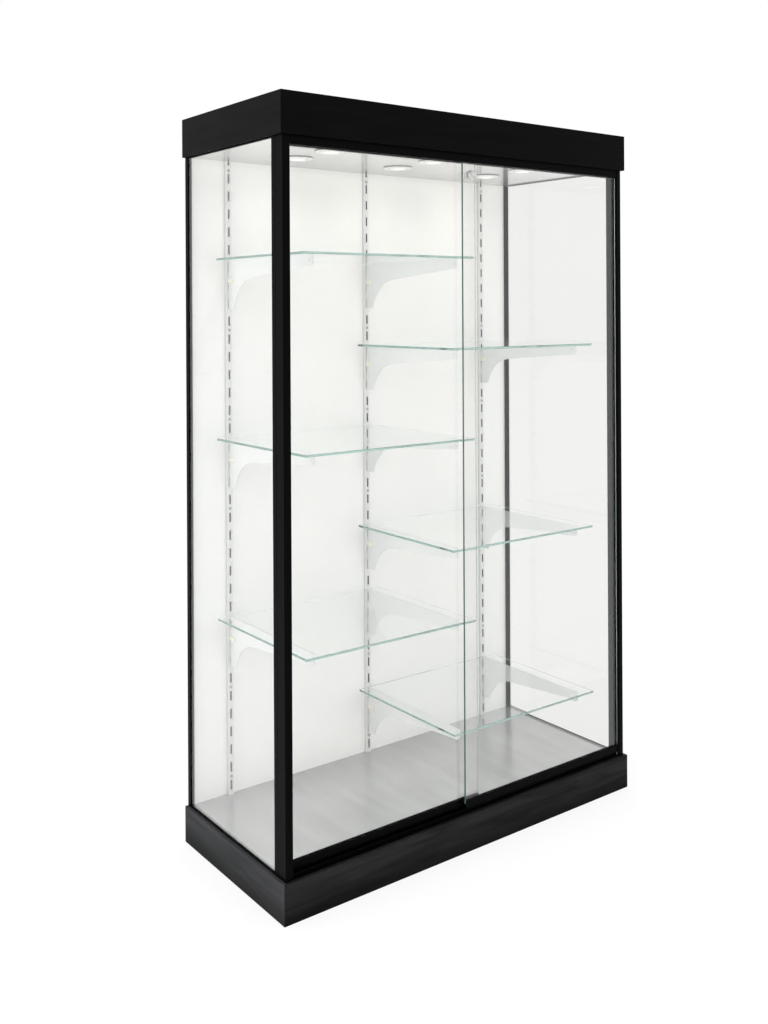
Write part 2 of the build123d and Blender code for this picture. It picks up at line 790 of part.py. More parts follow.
def build_lock():
    glass_front = outer_door_y - glass_thickness / 2
    glass_back = outer_door_y + glass_thickness / 2
    face = rod_along((0, 1, 0), (0, lock_front, lock_z), lock_face_radius, glass_front - lock_front)
    face = fillet(face.faces().sort_by(Axis.Y)[0].edges(), 1.5 * edge_round)
    sleeve = rod_along((0, 1, 0), (0, glass_front, lock_z), lock_sleeve_radius, lock_back - glass_front)
    bore = rod_along((0, 1, 0), (0, lock_front, lock_z), plunger_radius + running_gap, lock_back - lock_front)
    write("lock_housing", face + sleeve - bore)
    nut_face = Plane(origin=(0, glass_back, lock_z), z_dir=(0, 1, 0)) * RegularPolygon(lock_nut_across / 2, 6)
    nut = extrude(nut_face, amount=lock_nut_thickness)
    nut_bore = rod_along(
        (0, 1, 0), (0, glass_back, lock_z), lock_sleeve_radius + fit_gap, lock_nut_thickness)
    write("lock_nut", nut - nut_bore)
    plunger_front = lock_front - plunger_proud
    plunger = rod_along((0, 1, 0), (0, plunger_front, lock_z), plunger_radius, lock_back - plunger_front)
    plunger = fillet(plunger.faces().sort_by(Axis.Y)[0].edges(), edge_round / 2)
    seat = rod_along((0, 1, 0), (0, plunger_front, lock_z), plug_radius + running_gap, plug_length)
    write("lock_plunger", plunger - seat)
    plug = rod_along((0, 1, 0), (0, plunger_front, lock_z), plug_radius, plug_length)
    key_slot = block(
        (-key_slot_width / 2, key_slot_width / 2), (plunger_front, plunger_front + key_slot_depth),
        (lock_z - key_slot_height / 2, lock_z + key_slot_height / 2))
    write("lock_key_plug", plug - key_slot)


os.makedirs("parts", exist_ok=True)
build_base()
build_canopy()
build_frame()
build_standards_and_screws()
build_shelves()
build_lamps()
build_tracks()
build_door("left", inner_door_y, (-door_edge, door_overlap / 2))
build_door("right", outer_door_y, (-door_overlap / 2, door_edge))
build_lock()
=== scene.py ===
import math

import bmesh
import bpy
import numpy as np
from mathutils import Matrix, Vector


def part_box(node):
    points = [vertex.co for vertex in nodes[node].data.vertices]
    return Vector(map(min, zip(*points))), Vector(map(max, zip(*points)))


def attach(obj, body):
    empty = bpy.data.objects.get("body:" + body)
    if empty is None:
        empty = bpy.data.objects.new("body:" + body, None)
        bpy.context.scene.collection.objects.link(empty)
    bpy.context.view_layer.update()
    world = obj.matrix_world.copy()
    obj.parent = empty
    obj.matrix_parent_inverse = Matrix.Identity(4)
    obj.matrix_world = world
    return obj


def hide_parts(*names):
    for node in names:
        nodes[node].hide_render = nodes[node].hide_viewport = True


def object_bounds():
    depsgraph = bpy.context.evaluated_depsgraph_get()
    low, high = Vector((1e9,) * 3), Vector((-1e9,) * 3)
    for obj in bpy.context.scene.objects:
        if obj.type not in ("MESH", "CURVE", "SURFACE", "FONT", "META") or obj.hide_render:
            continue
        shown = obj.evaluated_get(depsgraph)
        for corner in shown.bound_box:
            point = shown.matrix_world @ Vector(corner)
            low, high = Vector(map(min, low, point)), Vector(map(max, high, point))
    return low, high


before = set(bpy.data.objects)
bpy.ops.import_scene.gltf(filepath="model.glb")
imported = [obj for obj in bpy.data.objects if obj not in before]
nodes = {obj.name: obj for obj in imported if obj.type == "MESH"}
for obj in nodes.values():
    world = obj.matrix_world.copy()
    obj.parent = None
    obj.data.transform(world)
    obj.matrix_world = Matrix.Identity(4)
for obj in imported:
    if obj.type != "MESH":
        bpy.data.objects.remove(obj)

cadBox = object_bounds()
scene = bpy.context.scene
scene.view_settings.view_transform = "Standard"
print("frame:", len(nodes), "CAD nodes")


# Helpers for colours, nodes and materials

def hexColour(code):  # sRGB hex to linear light, by the standard two-part curve
    parts = np.array([int(code[i:i + 2], 16) for i in (1, 3, 5)]) / 255
    linear = np.where(parts <= 0.04045, parts / 12.92, ((parts + 0.055) / 1.055) ** 2.4)
    return (*linear.tolist(), 1.0)


def addNode(tree, kind, settings=None, links=None):
    # Settings are sockets by name or number, or else the node's own properties
    node = tree.nodes.new(kind)
    for key, value in (settings or {}).items():
        if isinstance(key, int) or key in node.inputs:
            node.inputs[key].default_value = value
        else:
            setattr(node, key, value)
    for key, socket in (links or {}).items():
        tree.links.new(socket, node.inputs[key])
    return node


def newMaterial(name, settings):
    material = bpy.data.materials.new(name)
    material.use_nodes = True
    shader = material.node_tree.nodes["Principled BSDF"]
    for key, value in settings.items():
        shader.inputs[key].default_value = value
    return material, material.node_tree, shader


def grainSizes(width, length, along):  # a grain's size on each axis, longer on the one that it runs along
    sizes = [width] * 3
    sizes[along] = length
    return sizes


def grainPattern(tree, coords, sizes, detail, waviness=0.0):
    # Soft random patches, as large as the sizes in metres along X, Y and Z
    stretch = [1 / size for size in sizes]
    place = addNode(tree, "ShaderNodeMapping", {"Scale": stretch}, {"Vector": coords.outputs["Object"]})
    patches = addNode(tree, "ShaderNodeTexNoise", {
        "Scale": 1.0, "Detail": detail, "Distortion": waviness}, {"Vector": place.outputs[0]})
    return patches.outputs["Fac"]


def paintTones(tree, shader, pattern, span, tones):  # two sRGB colours, at the two ends of the pattern's span
    ramp = addNode(tree, "ShaderNodeValToRGB", {}, {"Fac": pattern})
    for element, position, tone in zip(ramp.color_ramp.elements, span, tones):
        element.position = position
        element.color = hexColour(tone)
    tree.links.new(ramp.outputs["Color"], shader.inputs["Base Color"])


def paintOver(tree, shader, mask, tone):  # lays a second sRGB colour over the first where the mask is 1
    first = shader.inputs["Base Color"].links[0].from_socket
    both = addNode(tree, "ShaderNodeMix", {"data_type": "RGBA", 7: hexColour(tone)}, {0: mask, 6: first})
    tree.links.new(both.outputs[2], shader.inputs["Base Color"])


# Paints shade onto the base colour
def shadeTone(tree, shader, factor):  # darkens the colour by a factor that varies over the piece
    first = shader.inputs["Base Color"].links[0].from_socket
    shaded = addNode(tree, "ShaderNodeVectorMath", {"operation": "SCALE"}, {"Vector": first, "Scale": factor})
    tree.links.new(shaded.outputs["Vector"], shader.inputs["Base Color"])


def varyGloss(tree, shader, pattern, gloss):  # roughness from the first value to the second with the pattern
    level = addNode(tree, "ShaderNodeMapRange", {"To Min": gloss[0], "To Max": gloss[1]}, {"Value": pattern})
    tree.links.new(level.outputs["Result"], shader.inputs["Roughness"])


def raiseGrain(tree, shader, pattern, strength, depth):  # a relief with its depth in metres
    relief = addNode(tree, "ShaderNodeBump", {"Strength": strength, "Distance": depth}, {"Height": pattern})
    tree.links.new(relief.outputs["Normal"], shader.inputs["Normal"])


def columnDistance(tree, socket, spacing):
    # Distance to the nearest of three equal columns: | | |x| - spacing / 2 | - spacing / 2 |
    for _ in range(2):
        size = addNode(tree, "ShaderNodeMath", {"operation": "ABSOLUTE"}, {0: socket})
        socket = addNode(tree, "ShaderNodeMath", {
            "operation": "SUBTRACT", 1: spacing / 2}, {0: size.outputs[0]}).outputs[0]
    return addNode(tree, "ShaderNodeMath", {"operation": "ABSOLUTE"}, {0: socket}).outputs[0]


def dress(material, *names):
    for name in names:
        node = nodes[name]
        node.data.materials.clear()
        node.data.materials.append(material)


def addSoftLight(name, power, size, place, aim, tone="#ffffff", shape="RECTANGLE"):
    # An area light that is never seen itself, neither straight, in a mirror nor through glass
    data = bpy.data.lights.new(name, "AREA")
    data.shape = shape
    data.size, data.size_y = size
    data.energy = power
    data.color = hexColour(tone)[:3]
    light = bpy.data.objects.new(name, data)
    turn = (Vector(aim) - Vector(place)).to_track_quat("-Z", "Y")
    light.matrix_world = Matrix.Translation(place) @ turn.to_matrix().to_4x4()
    light.visible_camera = False
    light.visible_glossy = False
    light.visible_transmission = False
    scene.collection.objects.link(light)


# Helpers for turned pieces

turned = {"curveSteps": 6, "around": 64, "samePlace": 1e-7, "sharpAngle": 38}


def roundedProfile(corners):
    # Each corner is (radius, height, rounding). It becomes a parabola between the points that lie
    # its rounding away along both edges: (1 - t)^2 start + 2 t (1 - t) corner + t^2 end.
    corners = np.array(corners, float)
    spots, rounding = corners[:, :2], corners[:, 2:]
    back = np.roll(spots, 1, axis=0) - spots
    ahead = np.roll(spots, -1, axis=0) - spots
    start = spots + rounding * back / np.linalg.norm(back, axis=1, keepdims=True)
    end = spots + rounding * ahead / np.linalg.norm(ahead, axis=1, keepdims=True)
    t = np.linspace(0, 1, turned["curveSteps"])[None, :, None]
    curve = (1 - t) ** 2 * start[:, None] + 2 * t * (1 - t) * spots[:, None] + t ** 2 * end[:, None]
    points = curve.reshape(-1, 2)
    apart = np.linalg.norm(points - np.roll(points, 1, axis=0), axis=1) > turned["samePlace"]
    return points[apart]


def turnedSolid(profile, axis, around=turned["around"]):
    # Each profile point (radius, height) is carried round the axis: height along it, and radius times
    # (cosine, sine) across it. A profile that starts and ends on the axis is closed by two poles,
    # any other by joining its last ring to its first.
    profile = np.asarray(profile, float)
    hasPoles = profile[0, 0] == 0
    rings = profile[1:-1] if hasPoles else profile
    angles = np.linspace(0, 2 * np.pi, around, endpoint=False)
    across = [k for k in range(3) if k != axis]
    grid = np.zeros((len(rings), around, 3))
    grid[..., across[0]] = rings[:, :1] * np.cos(angles)
    grid[..., across[1]] = rings[:, :1] * np.sin(angles)
    grid[..., axis] = rings[:, 1:]
    points = grid.reshape(-1, 3)
    turn = np.arange(around)
    following = (turn + 1) % around
    lower = np.arange(len(rings) - hasPoles)[:, None] * around
    upper = (lower + around) % len(points)
    quads = np.stack([lower + turn, lower + following, upper + following, upper + turn], -1).reshape(-1, 4)
    fans = np.zeros((0, 3), int)
    if hasPoles:
        tips = np.zeros((2, 3))
        tips[:, axis] = profile[[0, -1], 1]
        last = (len(rings) - 1) * around
        first = np.stack([np.full(around, len(points)), following, turn], -1)
        final = np.stack([np.full(around, len(points) + 1), last + turn, last + following], -1)
        fans = np.vstack([first, final])
        points = np.vstack([points, tips])
    return points, quads, fans


def placePiece(name, shapes, material, body, replaced):
    # Copies of each (points, quads, fans, centres) shape stand at its centres, all in one mesh
    vertices, faces = [], []
    for points, quads, fans, centres in shapes:
        centres = np.asarray(centres, float)
        shift = len(vertices) + np.arange(len(centres))[:, None, None] * len(points)
        vertices += (centres[:, None, :] + points[None]).reshape(-1, 3).tolist()
        faces += (shift + quads[None]).reshape(-1, 4).tolist()
        faces += (shift + fans[None]).reshape(-1, 3).tolist()
    mesh = bpy.data.meshes.new(name)
    mesh.from_pydata(vertices, [], faces)
    shell = bmesh.new()
    shell.from_mesh(mesh)
    bmesh.ops.recalc_face_normals(shell, faces=shell.faces)
    shell.to_mesh(mesh)
    shell.free()
    mesh.polygons.foreach_set("use_smooth", np.ones(len(mesh.polygons), bool))
    mesh.set_sharp_from_angle(angle=math.radians(turned["sharpAngle"]))
    mesh.materials.append(material)
    piece = bpy.data.objects.new(name, mesh)
    scene.collection.objects.link(piece)
    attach(piece, body)
    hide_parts(replaced)


def nodePoints(name):  # a CAD node's mesh points, as an array
    mesh = nodes[name].data
    points = np.empty(len(mesh.vertices) * 3)
    mesh.vertices.foreach_get("co", points)
    return points.reshape(-1, 3)


def middles(values, gap):  # the middle of every group of values that lies further than gap from the next
    ordered = np.unique(values)
    groups = np.split(ordered, np.where(np.diff(ordered) > gap)[0] + 1)
    return [(group[0] + group[-1]) / 2 for group in groups]


# Laminate on board: a printed paper under clear melamine, so a satin black with a broad, faint wood figure
# that runs along the board, finer pores in it, and a painted shade that darkens it towards the floor. Each
# black comes in two copies: a lighter one on the side boards as painted light from the left, and a darker one
# on the front and back boards as painted shade. Real pores are too fine to show, so they are drawn about 2 mm
# wide.

laminate = {
    # front and back boards: darker copies as painted shade; side boards: lighter copies as painted light from
    # the left
    "baseFrontShaded": ("#171718", "#272728"), "baseSideLit": ("#2c2d2e", "#3b3b3d"),
    "canopyFrontShaded": ("#050506", "#09090a"), "canopySideLit": ("#0c0c0d", "#131315"), "span": (0.33, 0.67),
    "veinLength": 0.240, "veinWidth": 0.024, "veinDetail": 2.0,
    "poreLength": 0.090, "poreWidth": 0.0022, "poreDetail": 3.0, "poreShare": 0.22,
    "waviness": 0.8, "reliefStrength": 0.10, "reliefDepth": 0.0003,
    "sheen": 0.03, "roughness": 0.46, "footHeight": 0.070, "footShade": 0.36,
}


def makeLaminate(name, tones, along):
    material, tree, shader = newMaterial(name, {
        "Roughness": laminate["roughness"], "Specular IOR Level": laminate["sheen"]})
    coords = addNode(tree, "ShaderNodeTexCoord")
    veins, pores = [
        grainPattern(tree, coords, grainSizes(laminate[layer + "Width"], laminate[layer + "Length"], along),
                     laminate[layer + "Detail"], laminate["waviness"])
        for layer in ("vein", "pore")]
    figure = addNode(tree, "ShaderNodeMix", {"Factor": laminate["poreShare"]}, {"A": veins, "B": pores})
    paintTones(tree, shader, figure.outputs["Result"], laminate["span"], tones)
    # Painted shade: the colour darkens smoothly towards the floor, over the foot height
    place = addNode(tree, "ShaderNodeSeparateXYZ", {}, {"Vector": coords.outputs["Object"]})
    foot = addNode(tree, "ShaderNodeMapRange", {
        "From Max": laminate["footHeight"], "To Min": laminate["footShade"],
        "interpolation_type": "SMOOTHSTEP"}, {"Value": place.outputs["Z"]})
    shadeTone(tree, shader, foot.outputs["Result"])
    raiseGrain(tree, shader, pores, laminate["reliefStrength"], laminate["reliefDepth"])
    return material


dress(makeLaminate("blackGrainLaminateShadedX", laminate["baseFrontShaded"], 0),
      "base_front_board", "base_back_board")
dress(makeLaminate("blackGrainLaminateLitY", laminate["baseSideLit"], 1),
      "base_left_board", "base_right_board")
dress(makeLaminate("blackSatinLaminateShadedX", laminate["canopyFrontShaded"], 0),
      "canopy_front_board", "canopy_back_board", "canopy_lid")
dress(makeLaminate("blackSatinLaminateLitY", laminate["canopySideLit"], 1),
      "canopy_left_board", "canopy_right_board")
print("laminate boards dressed")


# Black anodised aluminium: an extruded bar etched and dyed, so a deep satin black with faint die lines
# along its length, drawn coarser than real ones, which are too fine to show

anodised = {
    "tones": ("#030304", "#070708"), "span": (0.4, 0.75), "lineWidth": 0.0016, "lineLength": 1.25,
    "lineDetail": 3.0, "gloss": (0.28, 0.42), "sheen": 0.03, "paintedLipHighlight": "#8f9291", "paintedLipHighlightWidth": 0.0016,
}


def makeAnodised(name, along):
    material, tree, shader = newMaterial(name, {"Specular IOR Level": anodised["sheen"]})
    coords = addNode(tree, "ShaderNodeTexCoord")
    sizes = grainSizes(anodised["lineWidth"], anodised["lineLength"], along)
    lines = grainPattern(tree, coords, sizes, anodised["lineDetail"])
    paintTones(tree, shader, lines, anodised["span"], anodised["tones"])
    varyGloss(tree, shader, lines, anodised["gloss"])
    return material


dress(makeAnodised("blackAnodisedUpright", 2),
      "front_left_post", "front_right_post", "rear_left_post", "rear_right_post")
dress(makeAnodised("blackAnodisedTrack", 0),
      "lower_door_track", "upper_door_track", "left_door_shoe", "right_door_shoe")

# A painted highlight, a light grey line, runs along the rails' inner lips
railMaterial = makeAnodised("blackAnodisedRail", 1)
tree = railMaterial.node_tree
coords = addNode(tree, "ShaderNodeTexCoord")
place = addNode(tree, "ShaderNodeSeparateXYZ", {}, {"Vector": coords.outputs["Object"]})
reach = addNode(tree, "ShaderNodeMath", {"operation": "ABSOLUTE"}, {0: place.outputs["X"]})
railInside = float(np.abs(nodePoints("side_rails")[:, 0]).min())
paintedLipHighlight = addNode(tree, "ShaderNodeMath", {
    "operation": "LESS_THAN", 1: railInside + anodised["paintedLipHighlightWidth"]}, {0: reach.outputs[0]})
paintOver(tree, tree.nodes["Principled BSDF"], paintedLipHighlight.outputs[0], anodised["paintedLipHighlight"])
dress(railMaterial, "side_rails")
print("aluminium frame dressed")


# Clear float glass: iron in the melt makes it green over a long path, so the faces look clear and the
# polished edges teal. Lamps and bounced light pass straight through. The doors' edges are ground.

glass = {
    "pane": "#f9f8f7", "shelf": "#ffffff", "lampTint": "#fcfcfc", "edgeTint": "#78cfc3", "paneDepth": 3.4,
    "shelfDepth": 2.0, "ior": 1.52, "seam": "#6b8783", "seamShare": 0.5, "seamFacing": (0.4, 0.6),
}


def makeGlass(name, face, depth, seamed=False):
    material, tree, shader = newMaterial(name, {
        "Base Color": hexColour(face), "Roughness": 0.0, "IOR": glass["ior"], "Transmission Weight": 1.0})
    path = addNode(tree, "ShaderNodeLightPath")
    through = addNode(tree, "ShaderNodeMath", {"operation": "MAXIMUM"}, {
        0: path.outputs["Is Shadow Ray"], 1: path.outputs["Is Diffuse Ray"]})
    straight = addNode(tree, "ShaderNodeBsdfTransparent", {"Color": hexColour(glass["lampTint"])})
    seen = shader
    if seamed:  # the upright edges, which face along X, are ground and scatter some light
        coords = addNode(tree, "ShaderNodeTexCoord")
        facing = addNode(tree, "ShaderNodeSeparateXYZ", {}, {"Vector": coords.outputs["Normal"]})
        sideways = addNode(tree, "ShaderNodeMath", {"operation": "ABSOLUTE"}, {0: facing.outputs["X"]})
        edge = addNode(tree, "ShaderNodeMapRange", {
            "From Min": glass["seamFacing"][0], "From Max": glass["seamFacing"][1],
            "To Max": glass["seamShare"]}, {"Value": sideways.outputs[0]})
        ground = addNode(tree, "ShaderNodeBsdfDiffuse", {"Color": hexColour(glass["seam"])})
        seen = addNode(tree, "ShaderNodeMixShader", {}, {
            0: edge.outputs["Result"], 1: shader.outputs["BSDF"], 2: ground.outputs["BSDF"]})
    mix = addNode(tree, "ShaderNodeMixShader", {}, {
        0: through.outputs[0], 1: seen.outputs[0], 2: straight.outputs["BSDF"]})
    tint = addNode(tree, "ShaderNodeVolumeAbsorption", {
        "Color": hexColour(glass["edgeTint"]), "Density": depth})
    output = tree.nodes["Material Output"]
    tree.links.new(mix.outputs["Shader"], output.inputs["Surface"])
    tree.links.new(tint.outputs["Volume"], output.inputs["Volume"])
    return material


sides = ("left", "right")
levels = ("top", "middle", "bottom")
dress(makeGlass("clearFloatGlass", glass["pane"], glass["paneDepth"]),
      *[f"{side}_side_glass" for side in sides])
dress(makeGlass("clearDoorGlass", glass["pane"], glass["paneDepth"], True),
      *[f"{side}_door_glass" for side in sides])
dress(makeGlass("clearShelfGlass", glass["shelf"], glass["shelfDepth"]),
      *[f"{side}_{level}_shelf" for side in sides for level in levels])
print("glass dressed")


# Silver laminates, both with a painted shade that darkens them a little towards the back of the case

# Painted shade: the colour fades evenly darker from the node's front edge to its back edge
def shadeToBack(tree, shader, coords, name, share):  # an even fade from a node's front edge to its back edge
    low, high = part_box(name)
    place = addNode(tree, "ShaderNodeSeparateXYZ", {}, {"Vector": coords.outputs["Object"]})
    fade = addNode(tree, "ShaderNodeMapRange", {
        "From Min": low.y, "From Max": high.y, "To Min": 1.0, "To Max": share}, {"Value": place.outputs["Y"]})
    shadeTone(tree, shader, fade.outputs["Result"])


# Deck: aluminium flake under clear melamine, clouded from front to back and glossy enough to mirror the
# posts softly. Real flakes are too fine to show, so they are drawn about 2 mm wide.
deck = {
    "tones": ("#c0c0c0", "#cecece"), "span": (0.35, 0.65), "flake": 0.0022, "flakeDetail": 2.0,
    "cloud": (0.045, 0.36, 1.0), "cloudDetail": 3.0, "cloudShare": 0.75, "gloss": (0.16, 0.26),
    "metal": 0.4, "sheen": 0.4, "backShade": 0.76,
}

deckMaterial, tree, shader = newMaterial("silverFlakeLaminate", {
    "Metallic": deck["metal"], "Specular IOR Level": deck["sheen"]})
coords = addNode(tree, "ShaderNodeTexCoord")
flakes = grainPattern(tree, coords, [deck["flake"]] * 3, deck["flakeDetail"])
clouds = grainPattern(tree, coords, deck["cloud"], deck["cloudDetail"])
blend = addNode(tree, "ShaderNodeMix", {"Factor": deck["cloudShare"]}, {"A": flakes, "B": clouds})
paintTones(tree, shader, blend.outputs["Result"], deck["span"], deck["tones"])
shadeToBack(tree, shader, coords, "floor_deck", deck["backShade"])
varyGloss(tree, shader, blend.outputs["Result"], deck["gloss"])
dress(deckMaterial, "floor_deck")

# Ceiling: a brushed foil with bright streaks from front to back, drawn as bundles of brush lines,
# because single ones are too fine to show
ceiling = {
    "tones": ("#f6f6f6", "#fefefe"), "span": (0.3, 0.7), "streak": (0.006, 0.80, 1.0), "streakDetail": 4.0,
    "gloss": (0.13, 0.22), "metal": 0.6, "backShade": 0.52, "reliefStrength": 0.03, "reliefDepth": 0.0003,
}

ceilingMaterial, tree, shader = newMaterial("brushedSilverFoil", {"Metallic": ceiling["metal"]})
coords = addNode(tree, "ShaderNodeTexCoord")
streaks = grainPattern(tree, coords, ceiling["streak"], ceiling["streakDetail"])
paintTones(tree, shader, streaks, ceiling["span"], ceiling["tones"])
shadeToBack(tree, shader, coords, "ceiling_panel", ceiling["backShade"])
varyGloss(tree, shader, streaks, ceiling["gloss"])
raiseGrain(tree, shader, streaks, ceiling["reliefStrength"], ceiling["reliefDepth"])
dress(ceilingMaterial, "ceiling_panel")
print("silver laminates dressed")


# Slotted standards: roll-formed steel strip, white zinc outside. Inside the channel and round the punched
# slots a dark painted shade makes these read as sharp grey dashes, and a faint grey painted shade lies along
# the joint at the panel

standard = {
    "outside": ("#dcdedd", "#e7e8e7"), "span": (0.35, 0.7), "inside": "#343535", "paintedJointShadeTone": "#c6c8c7",
    "spangle": 0.004, "spangleDetail": 2.0, "gloss": (0.28, 0.40), "metal": 0.12,
    "wall": 0.0015, "joint": 0.0030, "slotPitch": 0.050, "firstSlot": 0.027,
    "rimHalfWidth": 0.0027, "rimHalfHeight": 0.0132,
}

standardLow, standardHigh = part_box("left_standard")
standardHalf = (standardHigh.x - standardLow.x) / 2
standardSpacing = abs(standardLow.x + standardHigh.x) / 2
standardMaterial, tree, shader = newMaterial("whiteZincStrip", {"Metallic": standard["metal"]})
coords = addNode(tree, "ShaderNodeTexCoord")
place = addNode(tree, "ShaderNodeSeparateXYZ", {}, {"Vector": coords.outputs["Object"]})
spangle = grainPattern(tree, coords, [standard["spangle"]] * 3, standard["spangleDetail"])
fromMiddle = columnDistance(tree, place.outputs["X"], standardSpacing)
# Painted shade inside the channel, where a point lies between the side walls and behind the front face
across = addNode(tree, "ShaderNodeMath", {
    "operation": "LESS_THAN", 1: standardHalf - standard["wall"] / 2}, {0: fromMiddle})
deep = addNode(tree, "ShaderNodeMath", {
    "operation": "GREATER_THAN", 1: standardLow.y + standard["wall"] / 2}, {0: place.outputs["Y"]})
inside = addNode(tree, "ShaderNodeMath", {"operation": "MULTIPLY"}, {
    0: across.outputs[0], 1: deep.outputs[0]})
# Painted shade along the joint with the panel, on the back of the side walls
joint = addNode(tree, "ShaderNodeMath", {
    "operation": "GREATER_THAN", 1: standardHigh.y - standard["joint"]}, {0: place.outputs["Y"]})
# Painted shade round each punched slot, in a band wider and taller than the slot
# The distance to the nearest slot's middle is a triangle wave along Z, half a pitch high
rise = addNode(tree, "ShaderNodeMath", {
    "operation": "SUBTRACT", 1: standardLow.z + standard["firstSlot"]}, {0: place.outputs["Z"]})
wave = addNode(tree, "ShaderNodeMath", {
    "operation": "PINGPONG", 1: standard["slotPitch"] / 2}, {0: rise.outputs[0]})
rimHeight = addNode(tree, "ShaderNodeMath", {
    "operation": "LESS_THAN", 1: standard["rimHalfHeight"]}, {0: wave.outputs[0]})
rimWidth = addNode(tree, "ShaderNodeMath", {
    "operation": "LESS_THAN", 1: standard["rimHalfWidth"]}, {0: fromMiddle})
rim = addNode(tree, "ShaderNodeMath", {"operation": "MULTIPLY"}, {
    0: rimHeight.outputs[0], 1: rimWidth.outputs[0]})
# Both painted shades take the same dark colour
paintedSlotShade = addNode(tree, "ShaderNodeMath", {"operation": "MAXIMUM"}, {0: inside.outputs[0], 1: rim.outputs[0]})
paintTones(tree, shader, spangle, standard["span"], standard["outside"])
paintOver(tree, shader, joint.outputs[0], standard["paintedJointShadeTone"])
paintOver(tree, shader, paintedSlotShade.outputs[0], standard["inside"])
varyGloss(tree, shader, spangle, standard["gloss"])
dress(standardMaterial, "left_standard", "centre_standard", "right_standard")
print("standards dressed")


# Plain finishes, each a random grain in colour and gloss with a little relief, sizes in metres

panelLow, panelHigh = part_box("back_panel")
bracketNodes = [f"{side}_{level}_brackets" for side in sides for level in levels]
wheelNodes = [f"{side}_door_{end}_wheel" for side in sides for end in sides]
plain = {"span": (0.35, 0.7), "detail": 3.0, "reliefStrength": 0.2, "metal": 0.0, "sheen": 0.5}
plainFinishes = {
    "glossWhiteLaminate": {  # pressed melamine: even white, soft sheen, with a pale kraft backing sheet
        "tones": ("#f5f4f2", "#f3f2f0"), "grain": 0.030, "gloss": (0.16, 0.24), "relief": 0.00004,
        "rearTone": "#c6c2b8", "rearDepth": 0.0015,
        "nodes": ["back_panel"]},
    "whiteZincPlate": {  # stamped steel, zinc plated: near white, faint spangle
        "tones": ("#dddfde", "#e4e5e4"), "grain": 0.004, "gloss": (0.28, 0.40), "relief": 0.00004,
        "metal": 0.05,
        "nodes": bracketNodes},
    "ivoryNylon": {  # moulded nylon: creamy and soft
        "tones": ("#f0ede0", "#eae6d6"), "grain": 0.006, "gloss": (0.42, 0.55), "relief": 0.00005,
        "nodes": ["bracket_clips"]},
    "blackVinyl": {  # extruded gasket: dull black with a faint mottle
        "tones": ("#0b0b0c", "#121213"), "grain": 0.003, "gloss": (0.50, 0.66), "relief": 0.00008,
        "sheen": 0.05,
        "nodes": ["glazing_gaskets"]},
    "greyPile": {  # woven pile: tufted, no gloss
        "tones": ("#6b6d6c", "#8b8d8c"), "grain": 0.0009, "gloss": (0.85, 0.95), "relief": 0.0004,
        "sheen": 0.1,
        "nodes": ["door_seal_strips"]},
    "rawParticleBoard": {  # pressed chips: speckled tan
        "tones": ("#b08f68", "#8e6f4b"), "grain": 0.004, "gloss": (0.75, 0.90), "relief": 0.0003,
        "nodes": ["cleats"]},
    "whiteDriverPlastic": {  # moulded housing with a fine spark texture
        "tones": ("#e4e4e2", "#dcdcda"), "grain": 0.004, "gloss": (0.40, 0.52), "relief": 0.00008,
        "nodes": ["lamp_driver"]},
    "whiteCableJacket": {  # soft vinyl jacket: off-white, a little dull
        "tones": ("#dededc", "#d2d2d0"), "grain": 0.004, "gloss": (0.38, 0.50), "relief": 0.00005,
        "nodes": ["lamp_leads"]},
    "blackAcetal": {  # turned wheel plastic: waxy black
        "tones": ("#161617", "#202021"), "grain": 0.003, "gloss": (0.32, 0.44), "relief": 0.00003,
        "sheen": 0.1,
        "nodes": wheelNodes},
    "blackenedSteel": {  # oil-blackened pin: dark, dull sheen
        "tones": ("#0d0d0e", "#161617"), "grain": 0.0015, "gloss": (0.34, 0.46), "relief": 0.00003,
        "sheen": 0.1,
        "nodes": ["left_door_axles", "right_door_axles"]},
    "polishedChrome": {  # bright plating over turned brass: mirror-like with faint wipe marks
        "tones": ("#f4f4f4", "#e9e9ea"), "grain": 0.0020, "gloss": (0.06, 0.14), "relief": 0.00001,
        "metal": 1.0,
        "nodes": ["lock_nut"]},
    "zincScrewSteel": {  # cold-headed screw: pale grey plating, for the heads turned further on
        "tones": ("#c9cbcc", "#b4b6b8"), "grain": 0.0020, "gloss": (0.24, 0.36), "relief": 0.00004,
        "metal": 0.9,
        "nodes": []},
    "blackGrommetRubber": {  # moulded rubber: matt black bloom, for the ring turned further on
        "tones": ("#121213", "#1b1b1c"), "grain": 0.003, "gloss": (0.55, 0.70), "relief": 0.00008,
        "sheen": 0.2,
        "nodes": []},
}

finishes = {}
for name, own in plainFinishes.items():
    finish = {**plain, **own}
    finishes[name], tree, shader = newMaterial(name, {
        "Metallic": finish["metal"], "Specular IOR Level": finish["sheen"]})
    coords = addNode(tree, "ShaderNodeTexCoord")
    mottle = grainPattern(tree, coords, [finish["grain"]] * 3, finish["detail"])
    paintTones(tree, shader, mottle, finish["span"], finish["tones"])
    varyGloss(tree, shader, mottle, finish["gloss"])
    raiseGrain(tree, shader, mottle, finish["reliefStrength"], finish["relief"])
    if "rearTone" in finish:
        place = addNode(tree, "ShaderNodeSeparateXYZ", {}, {"Vector": coords.outputs["Object"]})
        rear = addNode(tree, "ShaderNodeMath", {
            "operation": "GREATER_THAN", 1: panelHigh.y - finish["rearDepth"]}, {0: place.outputs["Y"]})
        paintOver(tree, shader, rear.outputs[0], finish["rearTone"])
    dress(finishes[name], *finish["nodes"])
print("plain finishes:", len(finishes))
